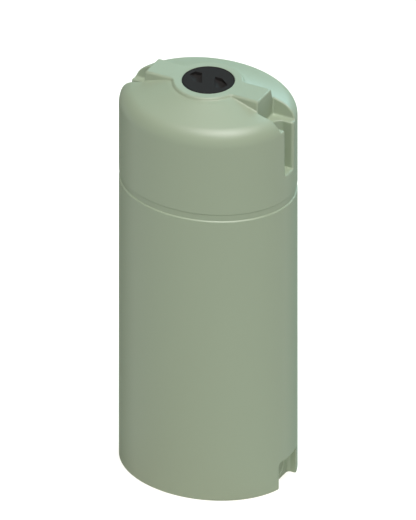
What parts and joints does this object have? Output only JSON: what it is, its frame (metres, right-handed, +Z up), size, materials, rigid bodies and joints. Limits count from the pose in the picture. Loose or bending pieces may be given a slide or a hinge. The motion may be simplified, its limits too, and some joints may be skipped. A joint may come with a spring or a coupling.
{
  "type": "slimline water tank",
  "caption": "Tall oval-plan moulded water tank with a strap groove, a flat spine and lid ring, end pockets, pipe channels, outlet notches, a screw lid and a leaf strainer.",
  "frame": {"origin": "centre of the base, on the surface that the tank stands on", "axes": "+Z up along the tank's height, X along the long side of the oval through both end pockets, Y across it"},
  "size_m": [0.88, 0.734, 2.11],
  "materials": {
    "tank": "satin moulded polyethylene, sage green",
    "lid": "fine-grained black polypropylene",
    "gasket": "matt rubber",
    "basket": "smooth black polypropylene",
    "mesh": "woven stainless wire"
  },
  "bodies": {
    "tank": {"tank_shell": "tank"},
    "strainer": {"strainer_basket": "basket", "strainer_mesh": "mesh"},
    "seal": {"lid_gasket": "gasket"},
    "lid": {"screw_lid": "lid"}
  },
  "joints": [
    {"name": "strainer_lift", "type": "slide", "parent": "tank", "child": "strainer", "axis": [0, 0, 1], "range_m": [0, 0.2]},
    {"name": "lid_lift", "type": "slide", "parent": "strainer", "child": "seal", "axis": [0, 0, 1], "range_m": [0, 0.12]},
    {"name": "lid_turn", "type": "hinge", "parent": "seal", "child": "lid", "pos_m": [0, 0, 2.101], "axis": [0, 0, 1], "range_deg": [0, 720]}
  ]
}
